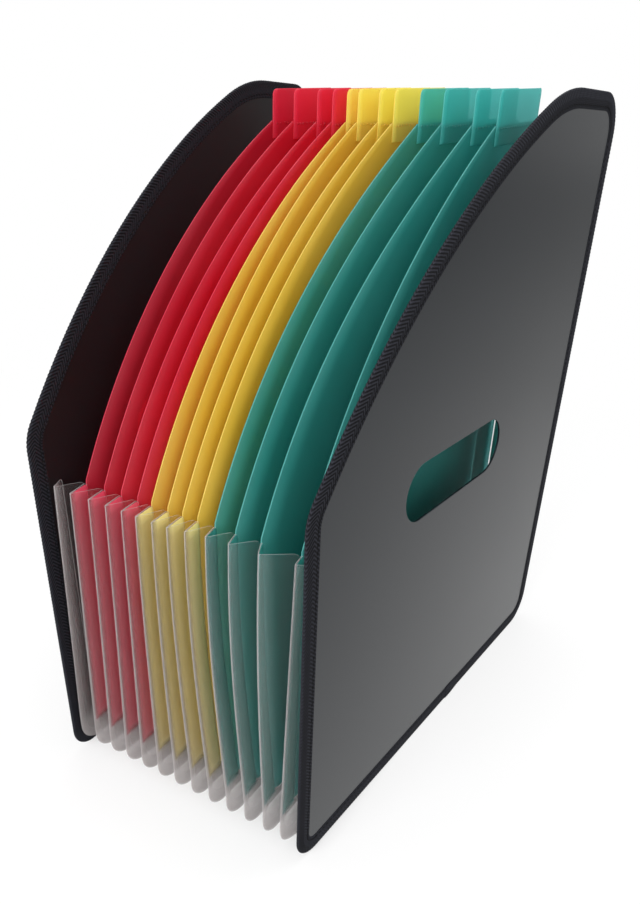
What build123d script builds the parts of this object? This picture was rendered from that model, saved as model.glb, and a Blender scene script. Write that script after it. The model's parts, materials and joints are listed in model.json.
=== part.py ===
from build123d import *
import math
import os

# Desktop accordion file: two curved cover boards with sewn edge binding, and between them a stack of
# coloured dividers joined by a clear pleated gusset. X is the way the file expands, the low pleated
# front faces -Y, and the file stands on Z = 0. All sizes are in millimetres.

# Cover outline, measured over its binding
cover_height = 320.0
cover_depth = 261.6
knee_height = 180.0            # front edge line meets the long curve
top_edge_length = 73.5         # level top edge, from the back to the curve
curve_rise = 18.0              # bulge of the long curve off its chord
knee_radius = 20.0
crest_radius = 100.0
top_back_radius = 20.0
bottom_back_radius = 18.0
bottom_front_radius = 14.0
board_thickness = 1.0

# Hand slot through each cover
slot_length = 96.0
slot_height = 28.5
slot_centre_height = 160.0
slot_forward = 10.8            # slot centre, forward of half depth

# Fabric binding folded over the cover edge
binding_width = 8.4
binding_wrap = 0.8             # fabric outside the board edge
tape_thickness = 0.45
fold_bevel = 0.35              # slope of the tape's edge where it turns over the board

# Dividers
divider_count = 12
divider_pitch = 10.5
divider_thickness = 0.6
divider_top = 301.0
divider_top_length = 79.4      # level top edge, from the back to the curve
divider_curve_rise = 16.5
divider_corner_radius = 5.0
divider_top_back_radius = 8.0

# Index tabs, lapped and welded onto the dividers
tab_length = 57.0
tab_lap = 12.0
tab_rise = 14.0                # tab above the divider's top edge
tab_thickness = 0.5
tab_corner_radius = 3.0

# Pleated gusset
gusset_wall = 0.5
gusset_front_top = 155.5
gusset_back_top = 285.0
pleat_depth = 12.6             # at the front and back, from inner to outer folds
pleat_drop = 19.5              # along the bottom, from inner to outer folds
pleat_edge_inset = 3.8         # outer folds, inside the covers' front and back edges
pleat_ground_gap = 4.5         # outer folds, above the floor
pleat_corner_radius = 13.0
corner_facets = 6              # flat facets of each rounded pleat corner
floor_steps = 6                # flat facets along the bottom of a pleat
flat_limit = 0.000001          # four corners this close to one plane make one face
end_leaf_inset = 15.0          # end leaf's seam on a cover, from the cover edge
seam_clearance = 0.1           # weld line between an end leaf and its cover

# End pockets stand open like a wedge, wider at the back
end_pocket_gap = 21.5          # from end divider to cover, at half depth
cover_splay = 5.1              # degrees that each cover stands off its end divider
cover_rack = 1.8               # slack of the stack: right cover slid back and left one forward, in their planes

# Worked out from the sizes above
half_depth = cover_depth / 2
outer_fold = half_depth - pleat_edge_inset
inner_fold = outer_fold - pleat_depth
divider_bottom = pleat_ground_gap + pleat_drop
divider_shoulder = inner_fold - divider_top_length
end_face = (divider_count - 1) / 2 * divider_pitch + divider_thickness / 2
wedge_length = end_pocket_gap / math.tan(math.radians(cover_splay))
half_gap = (divider_pitch - divider_thickness) / 2
band_depth = gusset_wall * math.hypot(half_gap, pleat_depth) / half_gap
band_drop = gusset_wall * math.hypot(half_gap, pleat_drop) / half_gap


def place_cover(part, slide):
    """Moves a right-hand piece, drawn with the cover's inner face on X = 0, to the splayed cover."""
    return Pos(end_face + end_pocket_gap, 0, 0) * Rot(0, 0, -cover_splay) * Pos(0, slide, 0) * part


def cover_outline():
    """Side view of a cover: low front, long convex curve, level top, upright back."""
    knee = (-half_depth, knee_height)
    crest = (half_depth - top_edge_length, cover_height)
    edges = [
        Line((-half_depth, 0), knee),
        SagittaArc(knee, crest, curve_rise),
        Line(crest, (half_depth, cover_height)),
        Line((half_depth, cover_height), (half_depth, 0)),
        Line((half_depth, 0), (-half_depth, 0)),
    ]
    corners = [
        (knee, knee_radius),
        (crest, crest_radius),
        ((half_depth, cover_height), top_back_radius),
        ((half_depth, 0), bottom_back_radius),
        ((-half_depth, 0), bottom_front_radius),
    ]
    outline = make_face(edges)
    for point, radius in corners:
        corner = outline.vertices().sort_by_distance((*point, 0))[0]
        outline = fillet(corner, radius)
    return outline


def make_cover():
    """Flat board with its hand slot, inner face on X = 0."""
    board = offset(cover_outline(), -binding_wrap)
    slot = Pos(-slot_forward, slot_centre_height) * SlotOverall(slot_length, slot_height)
    return extrude(Plane.YZ * (board - slot), board_thickness)


def make_binding():
    """Fabric tape folded round the whole edge of the board, a C-shaped section with eased edges."""
    outline = cover_outline()
    inner_side = Plane.YZ.offset(-tape_thickness)
    depth = board_thickness + 2 * tape_thickness
    tape = extrude(inner_side * outline, depth)
    sides = tape.faces().sort_by(Axis.X)
    tape = chamfer(sides[0].edges() + sides[-1].edges(), fold_bevel)
    window = extrude(inner_side * offset(outline, -binding_width), depth)
    board = extrude(Plane.YZ * offset(outline, -binding_wrap), board_thickness)
    return tape - window - board


def make_divider():
    """Coloured sheet whose curved front edge runs beside the covers' curve."""
    shoulder = (divider_shoulder, divider_top)
    edge_start = (-inner_fold, gusset_front_top)
    edges = [
        Line((-inner_fold, divider_bottom), edge_start),
        SagittaArc(edge_start, shoulder, divider_curve_rise),
        Line(shoulder, (inner_fold, divider_top)),
        Line((inner_fold, divider_top), (inner_fold, divider_bottom)),
        Line((inner_fold, divider_bottom), (-inner_fold, divider_bottom)),
    ]
    corners = [
        ((inner_fold, divider_top), divider_top_back_radius),
        ((inner_fold, divider_bottom), divider_corner_radius),
        ((-inner_fold, divider_bottom), divider_corner_radius),
    ]
    outline = make_face(edges)
    for point, radius in corners:
        corner = outline.vertices().sort_by_distance((*point, 0))[0]
        outline = fillet(corner, radius)
    return extrude(Plane.YZ.offset(-divider_thickness / 2) * outline, divider_thickness)


def make_tab():
    """Index tab, lapped onto the divider's right face and standing above its top edge."""
    tab = Rectangle(tab_length, tab_lap + tab_rise, align=(Align.MIN, Align.MIN))
    upper = tab.vertices().group_by(Axis.Y)[-1]
    tab = Pos(divider_shoulder, divider_top - tab_lap) * fillet(upper, tab_corner_radius)
    return extrude(Plane.YZ.offset(divider_thickness / 2) * tab, tab_thickness)


def round_corner(y, z, depth, drop, start):
    """Points of a quarter turn about (y, z), from a starting angle, for flat facets."""
    angles = [math.radians(start + 90 * i / corner_facets) for i in range(corner_facets + 1)]
    return [(y + depth * math.cos(a), z + drop * math.sin(a)) for a in angles]


def u_line(centre, low, depth, drop):
    """Points down the front, along the bottom and up the back, rounded at both lower corners."""
    near_corner = round_corner(-centre, low, depth, drop, 180)
    far_corner = round_corner(centre, low, depth, drop, 270)
    steps = [2 * i / floor_steps - 1 for i in range(1, floor_steps)]
    floor = [(centre * step, low - drop) for step in steps]
    reach = centre + depth
    return [(-reach, gusset_front_top), *near_corner, *floor, *far_corner, (reach, gusset_back_top)]


def u_band(reach, bottom, radius):
    """Side view of the sheet along one fold: front, bottom and back, open at the top."""
    centre, low = reach - radius, bottom + radius
    outer = u_line(centre, low, radius, radius)
    inner = u_line(centre, low, radius - band_depth, radius - band_drop)
    return outer + inner[::-1]


def across(section, x):
    """Points of a side-view section, standing at one X."""
    return [Vector(x, y, z) for y, z in section]


def in_wedge(section, share, clearance=0.0):
    """Points of a side-view section, turned by a share of the right end pocket's wedge."""
    angle = math.radians(cover_splay * share)
    start = end_face + wedge_length * math.tan(angle) - clearance
    return [Vector(start + y * math.sin(angle), y * math.cos(angle), z) for y, z in section]


def polygon(points):
    """Flat face over a ring of points."""
    return Face(Wire.make_polygon(points, close=True))


def patch(a, b, c, d):
    """Faces over four corners: one where they lie flat, else two triangles."""
    off_plane = (b - a).cross(c - a).normalized().dot(d - a)
    if abs(off_plane) < flat_limit:
        return [polygon([a, b, c, d])]
    return [polygon([a, b, c]), polygon([a, c, d])]


def fold_sheet(sections):
    """Solid sheet with straight leaves from each section to the next, closed at both ends."""
    faces = [polygon(sections[0]), polygon(sections[-1])]
    for first, second in zip(sections, sections[1:]):
        pairs = list(zip(first, second))
        for i, ((a, b), (d, c)) in enumerate(zip(pairs, pairs[1:] + pairs[:1])):
            inside = i >= len(pairs) // 2
            faces += patch(b, c, d, a) if inside else patch(a, b, c, d)
    return Solid(Shell(faces))


def make_pleat():
    """Pleat of one pocket: two leaves that meet in an outer fold, between two dividers."""
    at_divider = u_band(inner_fold, divider_bottom, divider_corner_radius)
    at_fold = u_band(outer_fold, pleat_ground_gap, pleat_corner_radius)
    return fold_sheet([across(at_divider, -half_gap), across(at_fold, 0), across(at_divider, half_gap)])


def make_end_pleat():
    """Pleat of the right end pocket, from the last divider to the splayed cover."""
    seam = half_depth - end_leaf_inset
    at_divider = u_band(inner_fold, divider_bottom, divider_corner_radius)
    at_fold = u_band(outer_fold, pleat_ground_gap, pleat_corner_radius)
    at_cover = u_band(seam, end_leaf_inset, divider_corner_radius)
    return fold_sheet([
        in_wedge(at_divider, 0),
        in_wedge(at_fold, 0.5),
        in_wedge(at_cover, 1, seam_clearance),
    ])


def divider_x(index):
    """Middle plane of a divider, counted from 1 at the left cover."""
    return (index - (divider_count + 1) / 2) * divider_pitch


def build_nodes():
    """All pieces in place, by node name."""
    nodes = {}
    for name, piece in (("cover", make_cover()), ("binding", make_binding())):
        nodes[f"right_{name}"] = place_cover(piece, cover_rack)
        nodes[f"left_{name}"] = mirror(place_cover(piece, -cover_rack), Plane.YZ)

    divider = make_divider()
    tab = make_tab()
    for index in range(1, divider_count + 1):
        place = Pos(divider_x(index), 0, 0)
        nodes[f"divider_{index:02d}"] = place * divider
        nodes[f"index_tab_{index:02d}"] = place * tab

    pleat = make_pleat()
    end_pleat = make_end_pleat()
    nodes["gusset_01"] = mirror(end_pleat, Plane.YZ)
    for index in range(1, divider_count):
        nodes[f"gusset_{index + 1:02d}"] = Pos(divider_x(index) + divider_pitch / 2, 0, 0) * pleat
    nodes[f"gusset_{divider_count + 1:02d}"] = end_pleat
    return nodes


os.makedirs("parts", exist_ok=True)
for name, part in build_nodes().items():
    part.label = name
    export_step(part, f"parts/{name}.step")
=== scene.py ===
import json
import math

import bpy
import numpy as np
from mathutils import Matrix, Vector
from mathutils.geometry import convex_hull_2d


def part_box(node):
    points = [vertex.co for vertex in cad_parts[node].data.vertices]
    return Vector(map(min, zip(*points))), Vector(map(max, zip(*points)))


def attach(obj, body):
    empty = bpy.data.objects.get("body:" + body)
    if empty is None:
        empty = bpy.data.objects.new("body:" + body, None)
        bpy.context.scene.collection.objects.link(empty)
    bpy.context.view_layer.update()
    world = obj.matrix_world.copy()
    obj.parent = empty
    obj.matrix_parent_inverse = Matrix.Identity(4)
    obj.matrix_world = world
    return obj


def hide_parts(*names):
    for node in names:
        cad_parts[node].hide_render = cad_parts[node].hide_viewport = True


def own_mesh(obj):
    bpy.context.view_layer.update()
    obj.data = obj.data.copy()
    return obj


# Looks of a desktop accordion file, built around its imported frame. Sizes are in metres, in the same
# frame: X is the way the file expands, the pleated front faces -Y and the file stands on Z = 0.
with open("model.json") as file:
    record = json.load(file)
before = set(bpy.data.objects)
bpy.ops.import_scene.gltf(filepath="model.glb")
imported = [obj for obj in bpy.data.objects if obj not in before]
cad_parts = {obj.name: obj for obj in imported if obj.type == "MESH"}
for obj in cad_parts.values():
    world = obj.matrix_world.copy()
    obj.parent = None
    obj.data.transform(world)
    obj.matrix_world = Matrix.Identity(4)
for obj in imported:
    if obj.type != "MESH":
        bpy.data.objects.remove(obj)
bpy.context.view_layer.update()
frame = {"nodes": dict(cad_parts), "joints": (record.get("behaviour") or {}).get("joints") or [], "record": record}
MM = 0.001
UP = np.array((0, 0, 1))

# Photograph's camera, fitted to the covers' straight edges
CAMERA_PLACE = (0.18739, -0.32635, 0.30361)
CAMERA_AZIMUTH = 29.03
CAMERA_ELEVATION = 28.83
CAMERA_ROLL = 2.54
CAMERA_LENS = 29.98
CAMERA_SHIFT = (-0.0092, 0.0884)

# Names, joints and sizes read from the frame
DIVIDERS = [f"divider_{k:02d}" for k in range(1, 13)]
TABS = [f"index_tab_{k:02d}" for k in range(1, 13)]
GUSSETS = [f"gusset_{k:02d}" for k in range(1, 14)]
SLOTS = {part["node"]: part["material_slot"] for part in frame["record"]["subparts"]}
JOINTS = {joint["name"]: joint for joint in frame["joints"]}
divider_low, divider_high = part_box("divider_01")
DIVIDER_THICKNESS = divider_high.x - divider_low.x
DIVIDER_BOTTOM, DIVIDER_TOP = divider_low.z, divider_high.z
INNER_FOLD = divider_high.y
PITCH = (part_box(DIVIDERS[-1])[0].x - divider_low.x) / (len(DIVIDERS) - 1)
PITCH_CLOSING = -JOINTS["expand"]["range_m"][0] / (len(DIVIDERS) - 1)
TAB_LOW, TAB_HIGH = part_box("index_tab_01")
TAB_THICKNESS = TAB_HIGH.x - TAB_LOW.x
TAB_LENGTH = TAB_HIGH.y - TAB_LOW.y
pleat_low, pleat_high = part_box("gusset_07")
OUTER_FOLD = pleat_high.y
PLEAT_BOTTOM = pleat_low.z
BACK_TOP = pleat_high.z
WEDGE_EDGE = Vector(JOINTS["right_swing"]["pos_m"])
WEDGE_CLOSED = math.radians(JOINTS["right_swing"]["range_deg"][1])

# Covers and their binding, where the frame doesn't state a size
COVER_SPLAY = math.radians(5.1)
COVER_HALF_DEPTH = 130.8 * MM
BOARD = 1 * MM
TAPE = 0.45 * MM
BINDING_WIDTH = 8.4 * MM
BINDING_WRAP = 0.8 * MM
TAPE_LIP = BINDING_WIDTH - BINDING_WRAP     # tape's width on the board, from the board's edge

# Pleats, where the frame doesn't state a size
FRONT_TOP = 155.5 * MM
PLEAT_WALL = 0.4 * MM
SEAM_ROOM = 0.05 * MM
SEAM = PLEAT_WALL / 2 + SEAM_ROOM       # middle of a pleat's sheet, off the wall that it is welded to
INNER_CORNER = 5 * MM
OUTER_CORNER = 13 * MM
END_SEAM_INSET = 15 * MM
TOP_CUT = 2.2 * MM              # top corners, rounded off beside the dividers
TOP_CUT_SHARE = 0.16            # of a leaf's width
FOLD_TIP = 0.07                 # roundness of the outer fold

# Shares of their open width that the pleats keep when the pockets are closed
OPEN_GAP = PITCH - DIVIDER_THICKNESS - 2 * SEAM
FOLD_KEEP = 1 - PITCH_CLOSING / OPEN_GAP
END_FILL = 0.8                  # of a closed end pocket, so that its pleat clears the tape
END_KEEP = END_FILL * (1 - WEDGE_CLOSED / COVER_SPLAY)

# Dividers' margins, which show through the pleats that they are welded to
FLAP = 0.3 * MM
FLAP_ROOM = 0.1 * MM            # off the pleat
FLAP_SHARE = (0.42, 0.475)      # width across a pocket, at their foot and at their top
FLAP_FOOT = (0.5 * MM, 3 * MM)  # above the divider's foot, at their inner and outer edge
FLAP_TOP_ROOM = 0.4 * MM        # below the pleat's top

# Twill ribs, sewing row and lapped end of the binding
TAPE_STEP = 0.5 * MM
RIB_PITCH = 1.9 * MM
RIB_HEIGHT = 0.2 * MM
RIB_TURN = 4.4 * MM
RIB_FADE = 0.8 * MM             # from the tape's lip to full ribs
YARN_PITCH = 0.7 * MM
SEW_INSET = 1.7 * MM
SEW_DEPTH = 0.2 * MM
STITCH_PITCH = 3.1 * MM
STITCH_HALF = (1.15 * MM, 0.3 * MM, 0.24 * MM)
STITCH_SLANT = 0.25
LAP_PLACE = 14 * MM             # on the lower edge, behind the middle of the board's points
LAP_LENGTH = 16 * MM
LAP_HEIGHT = 0.4 * MM
LAP_STEP = 0.6 * MM
LAP_LIP = 1.5 * MM              # from the tape's lip to the lap's full height
LINING_ROOM = 0.02 * MM         # between the board and the tape's hidden side

# Slack of the soft stack in the photograph. The dividers lean off their planes, one by one, at the
# pleats' top and at the tabs.
LEAN_AT_PLEATS = [a * MM for a in (0.3, 1, 0.5, -0.5, -3, -4.5, -7, -9.5, -11, -11, -9, -0.5)]
LEAN_AT_TABS = [a * MM for a in (1.5, 3.5, 6.5, 4.5, 2, -2.5, -2, -4.5, -2, -1, 3.3, 4)]
TOP_RISE = 3 * MM               # tabs' top edges, from front to back
STACK_RISE = 2 * MM             # dividers' tops, from the left to the right one
SWAY = 2 * MM                   # pleated front, back at its top and forward at its foot
FOLD_SKEW = [0.2] + [0.24] * 11 + [0.36]    # outer folds at the front, towards the divider on their left
FOLD_SLACK = (0.9, *[0.97] * 4, 1, 1, 1, 0.9, 0.78, 0.74, 0.72, 0.55)    # pleats' depth kept at their top

# Index tabs as the photograph shows them
TAB_SHOWN_LAP = 8 * MM
TAB_MORE = 3 * MM               # longer at the back
WELD_INSET = 3 * MM             # row of weld marks, from a tab's ends
WELD_DROP = 1.2 * MM            # row of weld marks, below the divider's top
WELD_HEIGHT = 0.18 * MM

# Steps of the meshes: rows and columns of the sheets, and points along a pleat's folds
DIVIDER_GRID, DIVIDER_CORNER = (64, 18), 8 * MM
TAB_GRID, TAB_CORNER = (12, 14), 3 * MM
CORNER_STEPS = 6
FLAP_GRID = (12, 24)
FRONT_STEPS, TURN_STEPS, FLOOR_STEPS, BACK_STEPS = 22, 9, 14, 28
LEAF_STEPS = (0, 0.012, 0.03, 0.06, 0.1, 0.16, 0.24, 0.33, 0.44, 0.56, 0.68, 0.78,
              0.86, 0.92, 0.96, 0.985, 1)   # from a pleat's outer fold to its seam
FOLD_LINE = 0.04                # part of a leaf's width that is the creased fold, paler with painted highlight

# Stage
FLOOR_HALF = 8.0
SHADE_HALF = (0.075, 0.12)      # half size of the floor's shade under the stack
AIM = Vector((0, 0, 0.15))


class Shader:
    """Short way to add and join the nodes of a material or of the world."""

    def __init__(self, owner, output="OutputMaterial"):
        owner.use_nodes = True
        self.owner = owner
        self.tree = owner.node_tree
        self.tree.nodes.clear()
        self.output = self.add(output)

    def add(self, kind, **inputs):
        """New node; each input is a value or another node's output, by the socket's name."""
        node = self.tree.nodes.new("ShaderNode" + kind)
        for name, value in inputs.items():
            self.put(node.inputs[name.replace("_", " ")], value)
        return node

    def put(self, socket, value):
        """Joins another node's output to a socket, or sets the socket to a value."""
        if isinstance(value, bpy.types.NodeSocket):
            self.tree.links.new(value, socket)
        elif isinstance(value, tuple) and len(value) == 3 and socket.type == "RGBA":
            socket.default_value = (*value, 1)
        else:
            socket.default_value = value

    def math(self, kind, *values):
        """Result of one operation on the values."""
        node = self.add("Math")
        node.operation = kind
        for socket, value in zip(node.inputs, values):
            self.put(socket, value)
        return node.outputs[0]

    def remap(self, value, start, end, low, high):
        """Number that goes from low to high as a value goes from start to end."""
        node = self.add("MapRange", Value=value, From_Min=start, From_Max=end, To_Min=low, To_Max=high)
        return node.outputs[0]

    def ramp(self, share, *stops):
        """Colour that follows a share through its stops."""
        node = self.add("ValToRGB", Fac=share)
        while len(node.color_ramp.elements) < len(stops):
            node.color_ramp.elements.new(0.5)
        for element, (place, colour) in zip(node.color_ramp.elements, stops):
            element.position = place
            element.color = (*colour, 1)
        return node.outputs[0]

    def split(self, vector):
        """X, Y and Z of a vector."""
        return self.add("SeparateXYZ", Vector=vector).outputs

    def uv(self):
        """U and V of the piece's own map."""
        return self.split(self.add("UVMap").outputs[0])[:2]

    def noise(self, scale, detail=2.0):
        """Uneven share over the piece."""
        place = self.add("TexCoord").outputs["Object"]
        return self.add("TexNoise", Vector=place, Scale=scale, Detail=detail).outputs["Fac"]

    def mix(self, share, first, second):
        """Shader between two others."""
        node = self.add("MixShader", Fac=share)
        self.tree.links.new(first.outputs[0], node.inputs[1])
        self.tree.links.new(second.outputs[0], node.inputs[2])
        return node

    def done(self, shader):
        """The material or world, with its finished shader."""
        self.tree.links.new(shader.outputs[0], self.output.inputs[0])
        return self.owner


def srgb(red, green, blue):
    """Linear colour from 8-bit values."""
    shares = [value / 255 for value in (red, green, blue)]
    return tuple(s / 12.92 if s <= 0.04045 else ((s + 0.055) / 1.055) ** 2.4 for s in shares)


def cover_material():
    """Dark grey plastic sheet: satin with a fine grain outside, dull towards the pockets, and darker there as
    painted shade.
    """
    s = Shader(bpy.data.materials.new("cover_board"))
    place = s.split(s.add("TexCoord").outputs["Object"])[0]
    facing = s.split(s.add("TexCoord").outputs["Normal"])[0]
    inside = s.math("LESS_THAN", s.math("MULTIPLY", place, facing), -0.02)
    smudge = s.noise(16.0, 4.0)
    bump = s.add("Bump", Strength=0.10, Distance=0.0001, Height=s.noise(2600.0))
    outer = s.ramp(smudge, (0.3, srgb(25, 29, 33)), (0.7, srgb(29, 33, 37)))
    # Darker colour of the inner face: painted shade inside the pockets; its extra roughness below is the duller
    # finish.
    inner = s.ramp(smudge, (0.3, srgb(15, 14, 16)), (0.7, srgb(20, 18, 21)))
    colour = s.add("MixRGB", Fac=inside, Color1=outer, Color2=inner).outputs[0]
    rough = s.math("ADD", s.math("MULTIPLY_ADD", smudge, 0.1, 0.2), s.math("MULTIPLY", inside, 0.3))
    return s.done(s.add("BsdfPrincipled", Base_Color=colour, Roughness=rough, Specular_IOR_Level=0.29,
                        Normal=bump.outputs[0]))


def twill_material():
    """Black twill tape: diagonal ribs that turn at each stripe, drawn along the tape's own length, darker in the
    grooves as painted shade.
    """
    s = Shader(bpy.data.materials.new("edge_binding"))
    along, across = s.uv()
    slant = s.math("ADD", along, s.math("PINGPONG", across, RIB_TURN))
    rib = s.math("SINE", s.math("MULTIPLY", slant, 2 * math.pi / RIB_PITCH))
    yarn = s.math("SINE", s.math("MULTIPLY", across, 2 * math.pi / YARN_PITCH))
    weave = s.math("MULTIPLY_ADD", rib, 0.35, s.math("MULTIPLY_ADD", yarn, 0.12, 0.35))
    height = s.math("MULTIPLY_ADD", s.noise(1500.0, 3.0), 0.4, weave)
    # Colour follows the relief height: darker in the grooves, which is painted shade; the noise in it is random
    # tone.
    colour = s.ramp(height, (0.2, srgb(5, 5, 7)), (1.0, srgb(48, 49, 57)))
    bump = s.add("Bump", Strength=0.6, Distance=0.0003, Height=height)
    return s.done(s.add("BsdfPrincipled", Base_Color=colour, Roughness=0.85, Specular_IOR_Level=0.15,
                        Normal=bump.outputs[0]))


def thread_material():
    """Black sewing thread."""
    s = Shader(bpy.data.materials.new("binding_thread"))
    colour = s.ramp(s.noise(900.0), (0.3, srgb(8, 8, 10)), (0.7, srgb(20, 20, 23)))
    return s.done(s.add("BsdfPrincipled", Base_Color=colour, Roughness=0.8, Specular_IOR_Level=0.15))


def sheet_material(name, colour, tint, clear, glow):
    """Translucent plastic sheet. Clear is the share seen straight through one face, or a function of
    the shader where that share changes over the sheet. Glow is the light let through."""
    s = Shader(bpy.data.materials.new(name))
    pale = tuple(c + (1 - c) * 0.06 for c in colour)
    cloudy = s.ramp(s.noise(13.0, 3.0), (0.35, colour), (0.75, pale))
    front = s.add("BsdfPrincipled", Base_Color=cloudy, Roughness=0.4)
    lit = s.mix(glow, front, s.add("BsdfTranslucent", Color=cloudy))
    share = clear(s) if callable(clear) else clear
    return s.done(s.mix(share, lit, s.add("BsdfTransparent", Color=tint)))


def frosted(s):
    """Clear share of a pleat: milky at its fold and its foot, clear where a divider lies against it."""
    clearest = 0.97
    across, height = s.uv()
    side = s.math("ABSOLUTE", s.math("MULTIPLY_ADD", across, 2.0, -1.0))
    right = s.remap(s.math("MULTIPLY_ADD", height, 0.45, side), 0.1, 0.65, 0.84, clearest)
    left = s.remap(side, 0.1, 0.8, 0.5, 0.9)
    leaf = s.math("MINIMUM", right, s.math("MAXIMUM", left, s.math("GREATER_THAN", across, 0.5)))
    foot = s.remap(height, 0.055, 0.11, 0.66, clearest)
    return s.math("MINIMUM", leaf, foot)


def fading(s):
    """Clear share of a divider's margin, which blurs out under the frosted pleat towards its edges."""
    solid = 0.1
    across, height = s.uv()
    edge = s.remap(across, 0.72, 1.0, solid, 0.98)
    foot = s.remap(height, 0.0, 0.03, 0.9, solid)
    return s.math("MAXIMUM", edge, foot)


def divider_materials(slot, sheet, tab, edge, tint, clear, margin_glow, margin_painted_light_power):
    """Materials in one colour: a divider's sheet, its cut edges (lighter, a painted highlight), its tab (lighter,
    painted light let through from behind) and its margins under the pleat (lifted, painted light in the pockets).
    """
    # Margin colour raised to a power below 1 is lighter: painted light in the dark pockets.
    margin = tuple(c ** margin_painted_light_power for c in sheet)
    margin_tint = tuple(0.4 + 0.6 * c for c in tint)
    return {
        slot: sheet_material(slot, sheet, tint, clear, 0.5),
        # Edge colour is lighter than the sheet: painted highlight on the cut edges.
        slot + "_edge": sheet_material(slot + "_edge", edge, tint, 0.2, 0.5),
        # Tab colour is lighter than the sheet: painted light let through the free-standing tab from behind.
        slot + "_tab": sheet_material(slot + "_tab", tab, tint, 0.34, 0.5),
        slot + "_flap": sheet_material(slot + "_flap", margin, margin_tint, fading, margin_glow),
    }


CLEAR_TINT = (0.985, 0.98, 0.98)
MATERIALS = {
    "cover_board": cover_material(),
    "edge_binding": twill_material(),
    "thread": thread_material(),
    "gusset_clear": sheet_material("gusset_clear", srgb(204, 199, 198), CLEAR_TINT, frosted, 0.45),
    # Whiter, less clear fold material: the crease's own whitening and painted highlight along the outer fold.
    "gusset_crease_and_highlight": sheet_material("gusset_crease_and_highlight", srgb(246, 242, 242), CLEAR_TINT, 0.74, 0.4),
    # Lighter, less clear rim material: painted highlight on the pleats' cut edges.
    "gusset_edge": sheet_material("gusset_edge", srgb(240, 240, 240), CLEAR_TINT, 0.65, 0.4),
    # Tab and edge colours are lighter than each sheet's: painted light through the tabs and painted highlight on
    # the cut edges; a margin power below 1 paints light in the pockets.
    **divider_materials("divider_red", sheet=srgb(226, 46, 76), tab=srgb(240, 56, 92), edge=srgb(232, 62, 92),
                        tint=(1.0, 0.3, 0.38), clear=0.52, margin_glow=0.28, margin_painted_light_power=0.75),
    **divider_materials("divider_yellow", sheet=srgb(234, 206, 80), tab=srgb(255, 248, 128),
                        edge=srgb(250, 226, 112), tint=(1.0, 0.92, 0.6), clear=0.36, margin_glow=0.12,
                        margin_painted_light_power=0.55),
    **divider_materials("divider_teal", sheet=srgb(72, 168, 161), tab=srgb(98, 210, 204),
                        edge=srgb(100, 194, 189), tint=(0.5, 0.92, 0.92), clear=0.42, margin_glow=0.7,
                        margin_painted_light_power=1.0),
}


def mesh_object(name, points, faces, uvs=None):
    """New smooth-shaded mesh object from points and faces, with one UV pair for each point if given."""
    mesh = bpy.data.meshes.new(name)
    mesh.from_pydata(np.asarray(points).reshape(-1, 3).tolist(), [], faces)
    if uvs is not None:
        corner = np.zeros(len(mesh.loops), dtype=np.int32)
        mesh.loops.foreach_get("vertex_index", corner)
        layer = mesh.uv_layers.new(name="UVMap")
        layer.data.foreach_set("uv", np.asarray(uvs).reshape(-1, 2)[corner].ravel())
    mesh.update()
    mesh.shade_smooth()
    piece = bpy.data.objects.new(name, mesh)
    bpy.context.scene.collection.objects.link(piece)
    return piece


def dress(piece, body, slot, *materials):
    """Gives a piece its materials, the slot's own one when none are listed, and the body that it rides on."""
    for material in materials or (slot,):
        piece.data.materials.append(MATERIALS[material])
    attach(piece, body)


def grid_faces(rows, columns, ring=False, tube=False):
    """Quads over a grid of points, stored row by row; ring closes the rows, tube the columns."""
    faces = []
    for i in range(rows if ring else rows - 1):
        for j in range(columns if tube else columns - 1):
            a, b = i * columns, (i + 1) % rows * columns
            k = (j + 1) % columns
            faces.append((a + j, a + k, b + k, b + j))
    return faces


def moved_up(faces, start):
    """Faces whose points come after those already listed."""
    return [tuple(start + i for i in face) for face in faces]


def thicken(piece, wall, rim):
    """Turns a single surface into a closed sheet, whose cut edges take the material rim places on."""
    solid = piece.modifiers.new("wall", "SOLIDIFY")
    solid.thickness = wall
    solid.offset = 0
    solid.material_offset_rim = rim


def height_share(z):
    """0 at the foot of the pleated front and 1 at its top."""
    return float(np.clip((z - DIVIDER_BOTTOM) / (FRONT_TOP - DIVIDER_BOTTOM), 0, 1))


def lean(k, y, z):
    """How far divider k's soft sheet stands off its plane: nothing at its foot and its back."""
    depth = np.clip((y + INNER_FOLD) / (TAB_LOW.y + INNER_FOLD), 0, 1)
    share = depth * depth * (3 - 2 * depth)
    held = np.clip((INNER_FOLD - y) / (INNER_FOLD - TAB_HIGH.y), 0, 1)
    most = LEAN_AT_PLEATS[k] * (1 - share) + LEAN_AT_TABS[k] * share * held
    return math.sin(height_share(z) * math.pi / 2) * most


def sway(y, z):
    """Place along Y of a point of the soft stack, whose pleated front stands back at its top."""
    shift = np.interp(z, (DIVIDER_BOTTOM, FRONT_TOP, DIVIDER_TOP), (-SWAY, SWAY, 0))
    return y + shift * np.clip(-y / INNER_FOLD, 0, 1)


def rise(k, y, z):
    """How far divider k's top stands up off its level: more to the back and more to the right."""
    share = np.clip((z - FRONT_TOP) / (DIVIDER_TOP - FRONT_TOP), 0, 1)
    back = np.clip((y - TAB_LOW.y) / TAB_LENGTH, 0, 1.2)
    return share * (TOP_RISE * back + STACK_RISE * k / (len(DIVIDERS) - 1))


def flatten(piece):
    """Gives a leaning sheet its own copy of its mesh."""
    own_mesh(piece)


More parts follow.
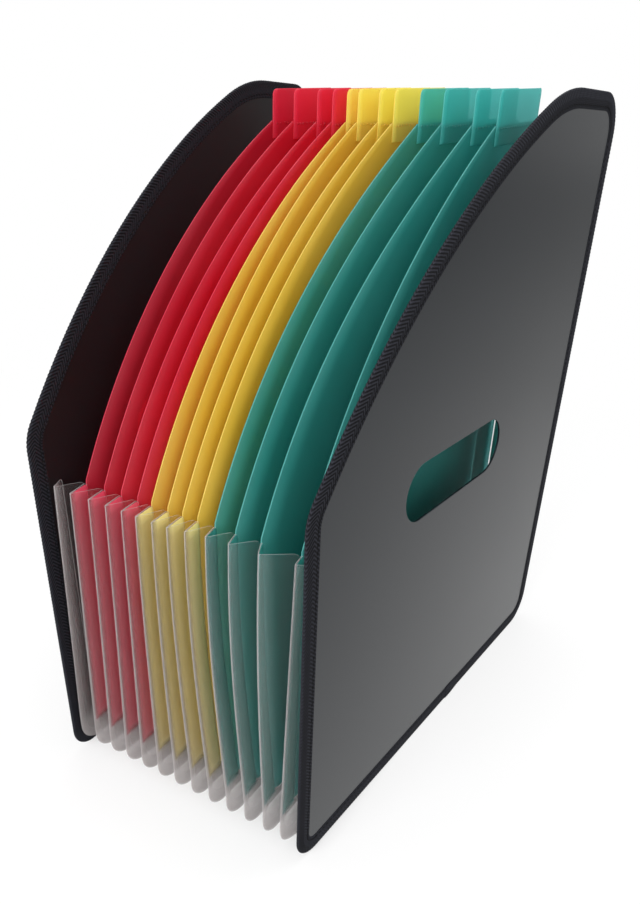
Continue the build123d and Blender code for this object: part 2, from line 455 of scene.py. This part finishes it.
def row_limits(node, heights):
    """Front and back ends of a flat node's convex outline, at each height."""
    flat = [Vector((v.co.y, v.co.z)) for v in frame["nodes"][node].data.vertices]
    ring = [flat[i] for i in convex_hull_2d(flat)]
    limits = []
    for z in heights:
        cuts = []
        for p, q in zip(ring, ring[1:] + ring[:1]):
            if min(p.y, q.y) <= z <= max(p.y, q.y):
                cuts += [p.x, q.x] if p.y == q.y else [p.x + (q.x - p.x) * (z - p.y) / (q.y - p.y)]
        limits.append((min(cuts), max(cuts)))
    return limits


def leaning_sheet(name, node, k, x, corner, grid, wall, low=None, longer=1.0):
    """Thin sheet with a node's outline, on the plane X = x but leaning as divider k does."""
    rows, columns = grid
    low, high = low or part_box(node)[0].z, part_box(node)[1].z
    ends = np.linspace(0, corner, CORNER_STEPS + 1)[:-1]
    middle = np.linspace(low + corner, high - corner, rows)
    inside = 1e-6
    heights = np.clip(np.concatenate([low + ends, middle, high - ends[::-1]]), low + inside, high - inside)
    points = []
    for z, (front, back) in zip(heights, row_limits(node, heights)):
        for y in np.linspace(front, front + (back - front) * longer, columns):
            points.append((x + lean(k, y, z), sway(y, z), z + rise(k, y, z)))
    piece = mesh_object(name, points, grid_faces(len(heights), columns))
    thicken(piece, wall, rim=1)
    return piece


def weld_marks(name, k, x):
    """Row of small raised weld ticks where a tab is joined on, at the divider's top edge."""
    draw = np.random.default_rng(20 + k)
    corners = np.array([(a, b, c) for a in (0, 1) for b in (-1, 1) for c in (-1, 1)], float)
    box = [(0, 1, 3, 2), (4, 6, 7, 5), (0, 4, 5, 1), (2, 3, 7, 6), (0, 2, 6, 4), (1, 5, 7, 3)]
    points, faces = [], []
    y = TAB_LOW.y + WELD_INSET
    while y < TAB_HIGH.y - WELD_INSET:
        length, half_width = draw.uniform(0.6, 1.5) * MM, draw.uniform(0.3, 0.5) * MM
        z = DIVIDER_TOP - WELD_DROP + draw.uniform(-0.2, 0.2) * MM
        size = np.array((WELD_HEIGHT, length / 2, half_width))
        faces += moved_up(box, len(points))
        points += (corners * size + (x + lean(k, y, z), y, z + rise(k, y, z))).tolist()
        y += draw.uniform(2.4, 4.2) * MM
    return mesh_object(name, points, faces)


def make_dividers():
    """Leaning coloured sheets with their welded index tabs."""
    for k, (node, tab) in enumerate(zip(DIVIDERS, TABS)):
        slot = SLOTS[node]
        edge = slot + "_edge"
        x = (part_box(node)[0].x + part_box(node)[1].x) / 2
        sheet = leaning_sheet(f"sheet_{k + 1:02d}", node, k, x, DIVIDER_CORNER, DIVIDER_GRID,
                              DIVIDER_THICKNESS)
        dress(sheet, node, slot, slot, edge)
        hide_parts(node)
        flatten(sheet)

        tab_x = x + (DIVIDER_THICKNESS + TAB_THICKNESS) / 2
        flag = leaning_sheet(f"tab_{k + 1:02d}", tab, k, tab_x, TAB_CORNER, TAB_GRID, TAB_THICKNESS,
                             low=DIVIDER_TOP - TAB_SHOWN_LAP, longer=1 + TAB_MORE / TAB_LENGTH)
        dress(flag, node, slot, slot + "_tab", edge)
        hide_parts(tab)
        flatten(flag)

        ticks = weld_marks(f"weld_{k + 1:02d}", k, tab_x + TAB_THICKNESS / 2)
        dress(ticks, node, slot, edge)
        flatten(ticks)


def u_path(reach, bottom, radius, top):
    """Points of a fold in the side view: down the front, along the bottom and up the back."""
    low = bottom + radius
    centre = reach - radius
    angles = np.linspace(0, math.pi / 2, TURN_STEPS)[1:]
    front = [(-reach, z) for z in np.linspace(top, low, FRONT_STEPS)]
    near = [(-centre - radius * math.cos(a), low - radius * math.sin(a)) for a in angles]
    floor = [(y, bottom) for y in np.linspace(-centre, centre, FLOOR_STEPS)[1:]]
    far = [(centre + radius * math.sin(a), low - radius * math.cos(a)) for a in angles]
    back = [(reach, z) for z in np.linspace(low, BACK_TOP, BACK_STEPS)[1:]]
    return front + near + floor + far + back


class Pocket:
    """Shape of a pleat between its walls, two dividers or a divider and a cover.

    Share runs across it, from 0 at its left wall to 1 at its right one. End is -1 for the pocket at the
    left cover, 1 for the one at the right cover and 0 for the others."""

    def __init__(self, number):
        last = len(DIVIDERS)
        inner = (INNER_FOLD, DIVIDER_BOTTOM)
        cover_seam = (COVER_HALF_DEPTH - END_SEAM_INSET, END_SEAM_INSET)
        self.number = number
        self.end = {0: -1, last: 1}.get(number, 0)
        self.seams = {-1: (cover_seam, inner), 0: (inner, inner), 1: (inner, cover_seam)}[self.end]
        self.rider = min(max(number - 1, 0), last - 1)
        if self.end:
            self.joint = "left_swing" if self.end < 0 else "right_swing"
            self.anchor = self.end * (WEDGE_EDGE.x + SEAM)
            self.keep = END_KEEP
        else:
            self.joint = "expand"
            self.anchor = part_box(DIVIDERS[self.rider])[1].x + SEAM
            self.far_wall = self.anchor + OPEN_GAP
            self.keep = FOLD_KEEP

    def x(self, share, y, z):
        """Place across the pocket, between two leaning walls."""
        k = self.rider
        share -= FOLD_SKEW[self.number] * (1 - abs(2 * share - 1)) * np.clip(-y / INNER_FOLD, 0, 1)
        if self.end:
            away = share if self.end > 0 else 1 - share
            gap = (y - WEDGE_EDGE.y) * math.tan(COVER_SPLAY) - 2 * SEAM
            return self.anchor + self.end * gap * away + lean(k, y, z) * (1 - away)
        return (self.anchor + lean(k, y, z)) * (1 - share) + (self.far_wall + lean(k + 1, y, z)) * share

    def fold(self, share):
        """Reach, bottom and corner radius of the sheet at one share."""
        side = 2 * share - 1
        out = 1 - (math.hypot(side, FOLD_TIP) - FOLD_TIP) / (math.hypot(1, FOLD_TIP) - FOLD_TIP)
        reach, bottom = self.seams[0] if side < 0 else self.seams[1]
        return (reach + (OUTER_FOLD - reach) * out, bottom + (PLEAT_BOTTOM - bottom) * out,
                INNER_CORNER + (OUTER_CORNER - INNER_CORNER) * out)

    def top(self, share):
        """Height of the front's upper edge at one share."""
        near_seam = np.clip(1 - (1 - abs(2 * share - 1)) / TOP_CUT_SHARE, 0, 1)
        return FRONT_TOP - TOP_CUT * (1 - math.sqrt(1 - near_seam ** 2))

    def place(self, share, y, z):
        """Point of the sheet, with the slack of the photographed stack in it."""
        seam = self.seams[0 if share < 0.5 else 1][0]
        loose = 1 if self.end == 0 else np.clip(2 * (1 - share if self.end > 0 else share), 0, 1)
        x = self.x(share, y, z)
        if y < -seam:
            y = -seam + (y + seam) * (1 - (1 - FOLD_SLACK[self.number]) * height_share(z))
        return x, y + (sway(y, z) - y) * loose, z

    def squash(self, piece):
        """Gives a piece of this pleat its own copy of its mesh."""
        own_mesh(piece)


def make_pleat(pocket):
    """One frosted pleat, with a paler, less clear line along its outer fold: the crease's own whitening with
    painted highlight.
    """
    half = np.array(LEAF_STEPS)
    shares = 0.5 + 0.5 * np.concatenate([-half[:0:-1], half])
    points, uvs = [], []
    for share in shares:
        path = u_path(*pocket.fold(share), pocket.top(share))
        points += [pocket.place(share, y, z) for y, z in path]
        uvs += [(share, z / BACK_TOP) for y, z in path]
    columns = len(points) // len(shares)
    piece = mesh_object(f"pleat_{pocket.number + 1:02d}", points, grid_faces(len(shares), columns), uvs)
    middles = np.repeat((shares[1:] + shares[:-1]) / 2, columns - 1)
    crease_highlight_faces = np.abs(2 * middles - 1) < FOLD_LINE
    piece.data.polygons.foreach_set("material_index", crease_highlight_faces.astype(np.int32))
    thicken(piece, PLEAT_WALL, rim=2)
    return piece


def make_flap(pocket):
    """Front and back margins of the divider on a pocket's left, bent on to the pleat that they join."""
    inset = PLEAT_WALL / 2 + FLAP / 2 + FLAP_ROOM
    across, rows = (np.linspace(0, 1, count) for count in FLAP_GRID)
    points, faces, uvs = [], [], []
    for way in (-1, 1):
        faces += moved_up(grid_faces(*FLAP_GRID), len(points))
        for u in across:
            for v in rows:
                share = u * (FLAP_SHARE[0] + (FLAP_SHARE[1] - FLAP_SHARE[0]) * v)
                low = DIVIDER_BOTTOM + FLAP_FOOT[0] + (FLAP_FOOT[1] - FLAP_FOOT[0]) * u
                high = (pocket.top(share) if way < 0 else BACK_TOP) - FLAP_TOP_ROOM
                x, y, z = pocket.place(share, way * pocket.fold(share)[0], low + (high - low) * v)
                points.append((x + inset, y, z))
                uvs.append((u, v))
    piece = mesh_object(f"flap_{pocket.number:02d}", points, faces, uvs)
    thicken(piece, FLAP, rim=0)
    return piece


def make_gussets():
    """Thirteen frosted pleats, with the dividers' margins on them."""
    for number, node in enumerate(GUSSETS):
        pocket = Pocket(number)
        rider = DIVIDERS[pocket.rider]
        piece = make_pleat(pocket)
        dress(piece, rider, "gusset_clear", "gusset_clear", "gusset_crease_and_highlight", "gusset_edge")
        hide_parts(node)
        pocket.squash(piece)
        if number > 0:
            flap = make_flap(pocket)
            dress(flap, rider, SLOTS[rider], SLOTS[rider] + "_flap")
            pocket.squash(flap)


def board_axes(node):
    """Axes of a cover board: a point on its inner face, the way to its back, and its outward normal."""
    points = np.array([v.co for v in frame["nodes"][node].data.vertices])
    centre = points.mean(0)
    normal = np.linalg.svd(points - centre, full_matrices=False)[2][2]
    normal *= np.sign(normal[0]) * np.sign(centre[0])
    back = np.cross(UP, normal)
    back *= np.sign(back[1])
    return centre + ((points - centre) @ normal).min() * normal, back, normal


def off_board(axes, spots, height):
    """Points in the frame, from places in a board's plane and their heights off its inner face."""
    origin, back, normal = axes
    return origin + spots[..., :1] * back + spots[..., 1:] * UP + height[..., None] * normal


def board_outline(node, axes, spacing):
    """Edge of a cover board in its plane, at even steps: length so far, places and outward directions."""
    origin, back, _ = axes
    points = np.array([v.co for v in frame["nodes"][node].data.vertices]) - origin
    flat = [Vector((p @ back, p[2])) for p in points]
    ring = np.array([flat[i] for i in convex_hull_2d(flat)])
    closed = np.vstack([ring, ring[:1]])
    lengths = running_length(closed)
    at = np.linspace(0, lengths[-1], int(lengths[-1] / spacing), endpoint=False)
    edge = np.stack([np.interp(at, lengths, closed[:, i]) for i in range(2)], 1)
    smooth = 3
    tangent = np.roll(edge, -smooth, 0) - np.roll(edge, smooth, 0)
    tangent /= np.linalg.norm(tangent, axis=1)[:, None]
    outward = np.stack([tangent[:, 1], -tangent[:, 0]], 1)
    outward *= np.sign(((edge - edge.mean(0)) * outward).sum(1))[:, None]
    return at, edge, outward


def running_length(line):
    """Length along a line, up to each of its points."""
    return np.concatenate([[0], np.cumsum(np.linalg.norm(np.diff(line, axis=0), axis=1))])


def tape_section():
    """Outer line of the folded tape's section, from lip to lip: length so far, and pairs of the reach
    past the board's edge and the height off its inner face."""
    row = TAPE_LIP - SEW_INSET
    lip = [(-TAPE_LIP, 0.25 * TAPE), (-TAPE_LIP + 0.1 * MM, 0.75 * TAPE),
           (-TAPE_LIP + 0.5 * MM, TAPE - 0.1 * MM)]
    groove = [(-row, TAPE - SEW_DEPTH), (-row + 0.9 * MM, TAPE)]
    face = lip + groove + [(-0.4 * TAPE_LIP, TAPE), (0, TAPE)]
    half = BOARD / 2
    turn = [(BINDING_WRAP * math.cos(t), half + (half + TAPE) * math.sin(t))
            for t in np.linspace(math.pi / 2, -math.pi / 2, 15)[1:-1]]
    line = np.array([(a, BOARD + b) for a, b in face] + turn + [(a, -b) for a, b in reversed(face)])
    run = running_length(line)
    at = np.linspace(0, run[-1], int(run[-1] / TAPE_STEP))
    return at, np.stack([np.interp(at, run, line[:, i]) for i in range(2)], 1)


def tape_relief(along, across, lap_start):
    """Height of the tape's ribs and of its lapped end, over lengths along and across the tape."""
    width = across[-1]
    u, v = along[:, None], across[None, :]
    from_lip = np.minimum(v, width - v)
    stripe = np.abs((v - width / 2 + RIB_TURN) % (2 * RIB_TURN) - RIB_TURN)
    rib = RIB_HEIGHT * (0.5 + 0.5 * np.sin(2 * math.pi * (u + stripe) / RIB_PITCH))
    rib = (rib - RIB_HEIGHT) * np.clip(from_lip / RIB_FADE, 0, 1)
    past = (u - lap_start) % (along[-1] + along[1])
    ending = np.clip((LAP_LENGTH - past) / (0.6 * LAP_LENGTH), 0, 1)
    lap = LAP_HEIGHT * np.clip(past / LAP_STEP, 0, 1) * ending
    return rib + lap * np.clip(from_lip / LAP_LIP, 0.3, 1)


def stitches(name, axes, at, edge, outward):
    """Row of thread stitches on both faces of the tape, each a slim bead laid at a slant."""
    rings = np.linspace(-1, 1, 7)
    around = np.linspace(0, 2 * math.pi, 6, endpoint=False)
    girths = np.sqrt(np.maximum(1 - rings ** 2, 0.02))
    bead = np.array([(r, g * math.cos(a), g * math.sin(a)) for r, g in zip(rings, girths) for a in around])
    bead *= STITCH_HALF
    caps = [tuple(range(len(around)))[::-1], tuple(range(len(bead) - len(around), len(bead)))]
    bead_faces = grid_faces(len(rings), len(around), tube=True) + caps
    row = TAPE_LIP - SEW_INSET
    step = max(1, round(STITCH_PITCH / (at[1] - at[0])))
    points, faces = [], []
    for place, out in zip(edge[::step], outward[::step]):
        along = np.array((-out[1], out[0])) + STITCH_SLANT * out
        spots = place - out * row + bead[:, :1] * along + bead[:, 1:2] * out
        for height in (BOARD + TAPE - SEW_DEPTH, SEW_DEPTH - TAPE):
            faces += moved_up(bead_faces, len(points))
            points += off_board(axes, spots, height + bead[:, 2]).tolist()
    return mesh_object(name, points, faces)


def make_bindings():
    """Sewn twill tape round both covers, with its ribs, its lapped ends and its stitches."""
    across, section = tape_section()
    slope = np.gradient(section, axis=0)
    slope /= np.linalg.norm(slope, axis=1)[:, None]
    room = LINING_ROOM
    lining = np.array([(-TAPE_LIP, -room), (room, -room), (room, BOARD + room), (-TAPE_LIP, BOARD + room)])
    run = np.concatenate([across, across[-1] + np.arange(1, len(lining) + 1) * MM])
    for side in ("left", "right"):
        cover = f"{side}_cover"
        axes = board_axes(cover)
        at, edge, outward = board_outline(cover, axes, TAPE_STEP)
        lowest = np.flatnonzero(edge[:, 1] < edge[:, 1].min() + 0.01 * MM)
        lap_start = at[lowest[np.argmin(np.abs(edge[lowest, 0] - LAP_PLACE))]]
        relief = tape_relief(at, across, lap_start)
        rows = np.ones((len(at), 1))
        reach = np.hstack([section[:, 0] - relief * slope[:, 1], rows * lining[:, 0]])
        height = np.hstack([section[:, 1] + relief * slope[:, 0], rows * lining[:, 1]])
        spots = edge[:, None, :] + outward[:, None, :] * reach[..., None]
        points = off_board(axes, spots, height)
        points[..., 2] = np.maximum(points[..., 2], 0)
        uvs = np.stack(np.meshgrid(at, run, indexing="ij"), -1)
        piece = mesh_object(f"{side}_tape", points, grid_faces(len(at), len(run), ring=True, tube=True), uvs)
        dress(piece, cover, "edge_binding")
        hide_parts(f"{side}_binding")
        thread = stitches(f"{side}_stitching", axes, at, edge, outward)
        dress(thread, cover, "edge_binding", "thread")


def paint_covers():
    """Material of the two CAD boards, which stay as they are."""
    for side in ("left", "right"):
        board = frame["nodes"][f"{side}_cover"]
        board.data.materials.clear()
        board.data.materials.append(MATERIALS["cover_board"])


def seen_directly(s):
    """1 for rays from the camera or through glass, 0 for light and reflections."""
    rays = s.add("LightPath").outputs
    return s.math("MAXIMUM", rays["Is Camera Ray"], rays["Is Transmission Ray"])


def floor_material():
    """White floor that keeps the shadow: shaded under the stack, brighter far away, dimmer in reflections."""
    s = Shader(bpy.data.materials.new("floor"))
    place = s.add("TexCoord").outputs["Object"]
    away = s.add("VectorMath")
    away.operation = "LENGTH"
    s.put(away.inputs[0], place)
    distance = away.outputs["Value"]
    glossy = s.add("LightPath").outputs["Is Glossy Ray"]

    x, y, _ = s.split(place)
    beside = s.math("DIVIDE", s.math("ABSOLUTE", x), SHADE_HALF[0])
    before = s.math("DIVIDE", s.math("ABSOLUTE", y), SHADE_HALF[1])
    outside = s.remap(s.math("MAXIMUM", beside, before), 0.85, 1.05, 0.25, 1.0)
    fade = s.remap(distance, 0.2, 0.7, 0.72, 1.0)
    shown = s.math("MULTIPLY", seen_directly(s), s.math("MULTIPLY", fade, outside))
    mirrored = s.math("MULTIPLY", glossy, s.remap(distance, 0.2, 0.75, 0.9, 0.0))

    level = s.math("MULTIPLY_ADD", glossy, -0.3, 0.9)
    matte = s.add("BsdfDiffuse", Color=s.add("CombineXYZ", X=level, Y=level, Z=level).outputs[0])
    white = s.add("Emission", Strength=1.0)
    return s.done(s.mix(s.math("MAXIMUM", shown, mirrored), matte, white))


def make_floor():
    """Wide plain floor under the file."""
    half = FLOOR_HALF
    corners = [(-half, -half, 0), (half, -half, 0), (half, half, 0), (-half, half, 0)]
    floor = mesh_object("floor", corners, [(0, 1, 2, 3)])
    floor.data.materials.append(floor_material())


def make_surround():
    """White surround, which lights the file at a lower level than it shows."""
    sky = Shader(bpy.data.worlds.new("surround"), "OutputWorld")
    level = sky.math("MULTIPLY_ADD", seen_directly(sky), 0.4, 0.6)
    bpy.context.scene.world = sky.done(sky.add("Background", Color=(1.0, 1.0, 1.0), Strength=level))


def make_lamps():
    """Three soft lamps, by place, size and power."""
    lamps = [
        ("key", (-0.1, -1.4, 0.7), 0.9, 17.5),
        ("fill", (1.0, -0.9, 0.7), 0.9, 3.5),
        ("top", (0.1, 0.3, 1.5), 1.0, 12.0),
    ]
    for name, place, size, power in lamps:
        data = bpy.data.lights.new(name, "AREA")
        data.size = size
        data.energy = power
        lamp = bpy.data.objects.new(name, data)
        lamp.location = place
        lamp.rotation_euler = (AIM - Vector(place)).to_track_quat("-Z", "Y").to_euler()
        bpy.context.scene.collection.objects.link(lamp)


def make_camera():
    """Camera at the photograph's place and angle."""
    azimuth, elevation, roll = (math.radians(a) for a in (CAMERA_AZIMUTH, CAMERA_ELEVATION, CAMERA_ROLL))
    level = math.cos(elevation)
    back = Vector((math.sin(azimuth) * level, -math.cos(azimuth) * level, math.sin(elevation)))
    right = Vector((math.cos(azimuth), math.sin(azimuth), 0))
    up = back.cross(right)
    turned_right = right * math.cos(roll) + up * math.sin(roll)
    turned_up = up * math.cos(roll) - right * math.sin(roll)
    data = bpy.data.cameras.new("camera")
    data.lens = CAMERA_LENS
    data.shift_x, data.shift_y = CAMERA_SHIFT
    data.clip_start = 0.01
    camera = bpy.data.objects.new("camera", data)
    axes = Matrix((turned_right, turned_up, back)).transposed().to_4x4()
    camera.matrix_world = Matrix.Translation(CAMERA_PLACE) @ axes
    bpy.context.scene.collection.objects.link(camera)
    bpy.context.scene.camera = camera


paint_covers()
make_dividers()
make_gussets()
make_bindings()
make_floor()
make_surround()
make_lamps()
make_camera()
bpy.context.scene.view_settings.view_transform = "Standard"
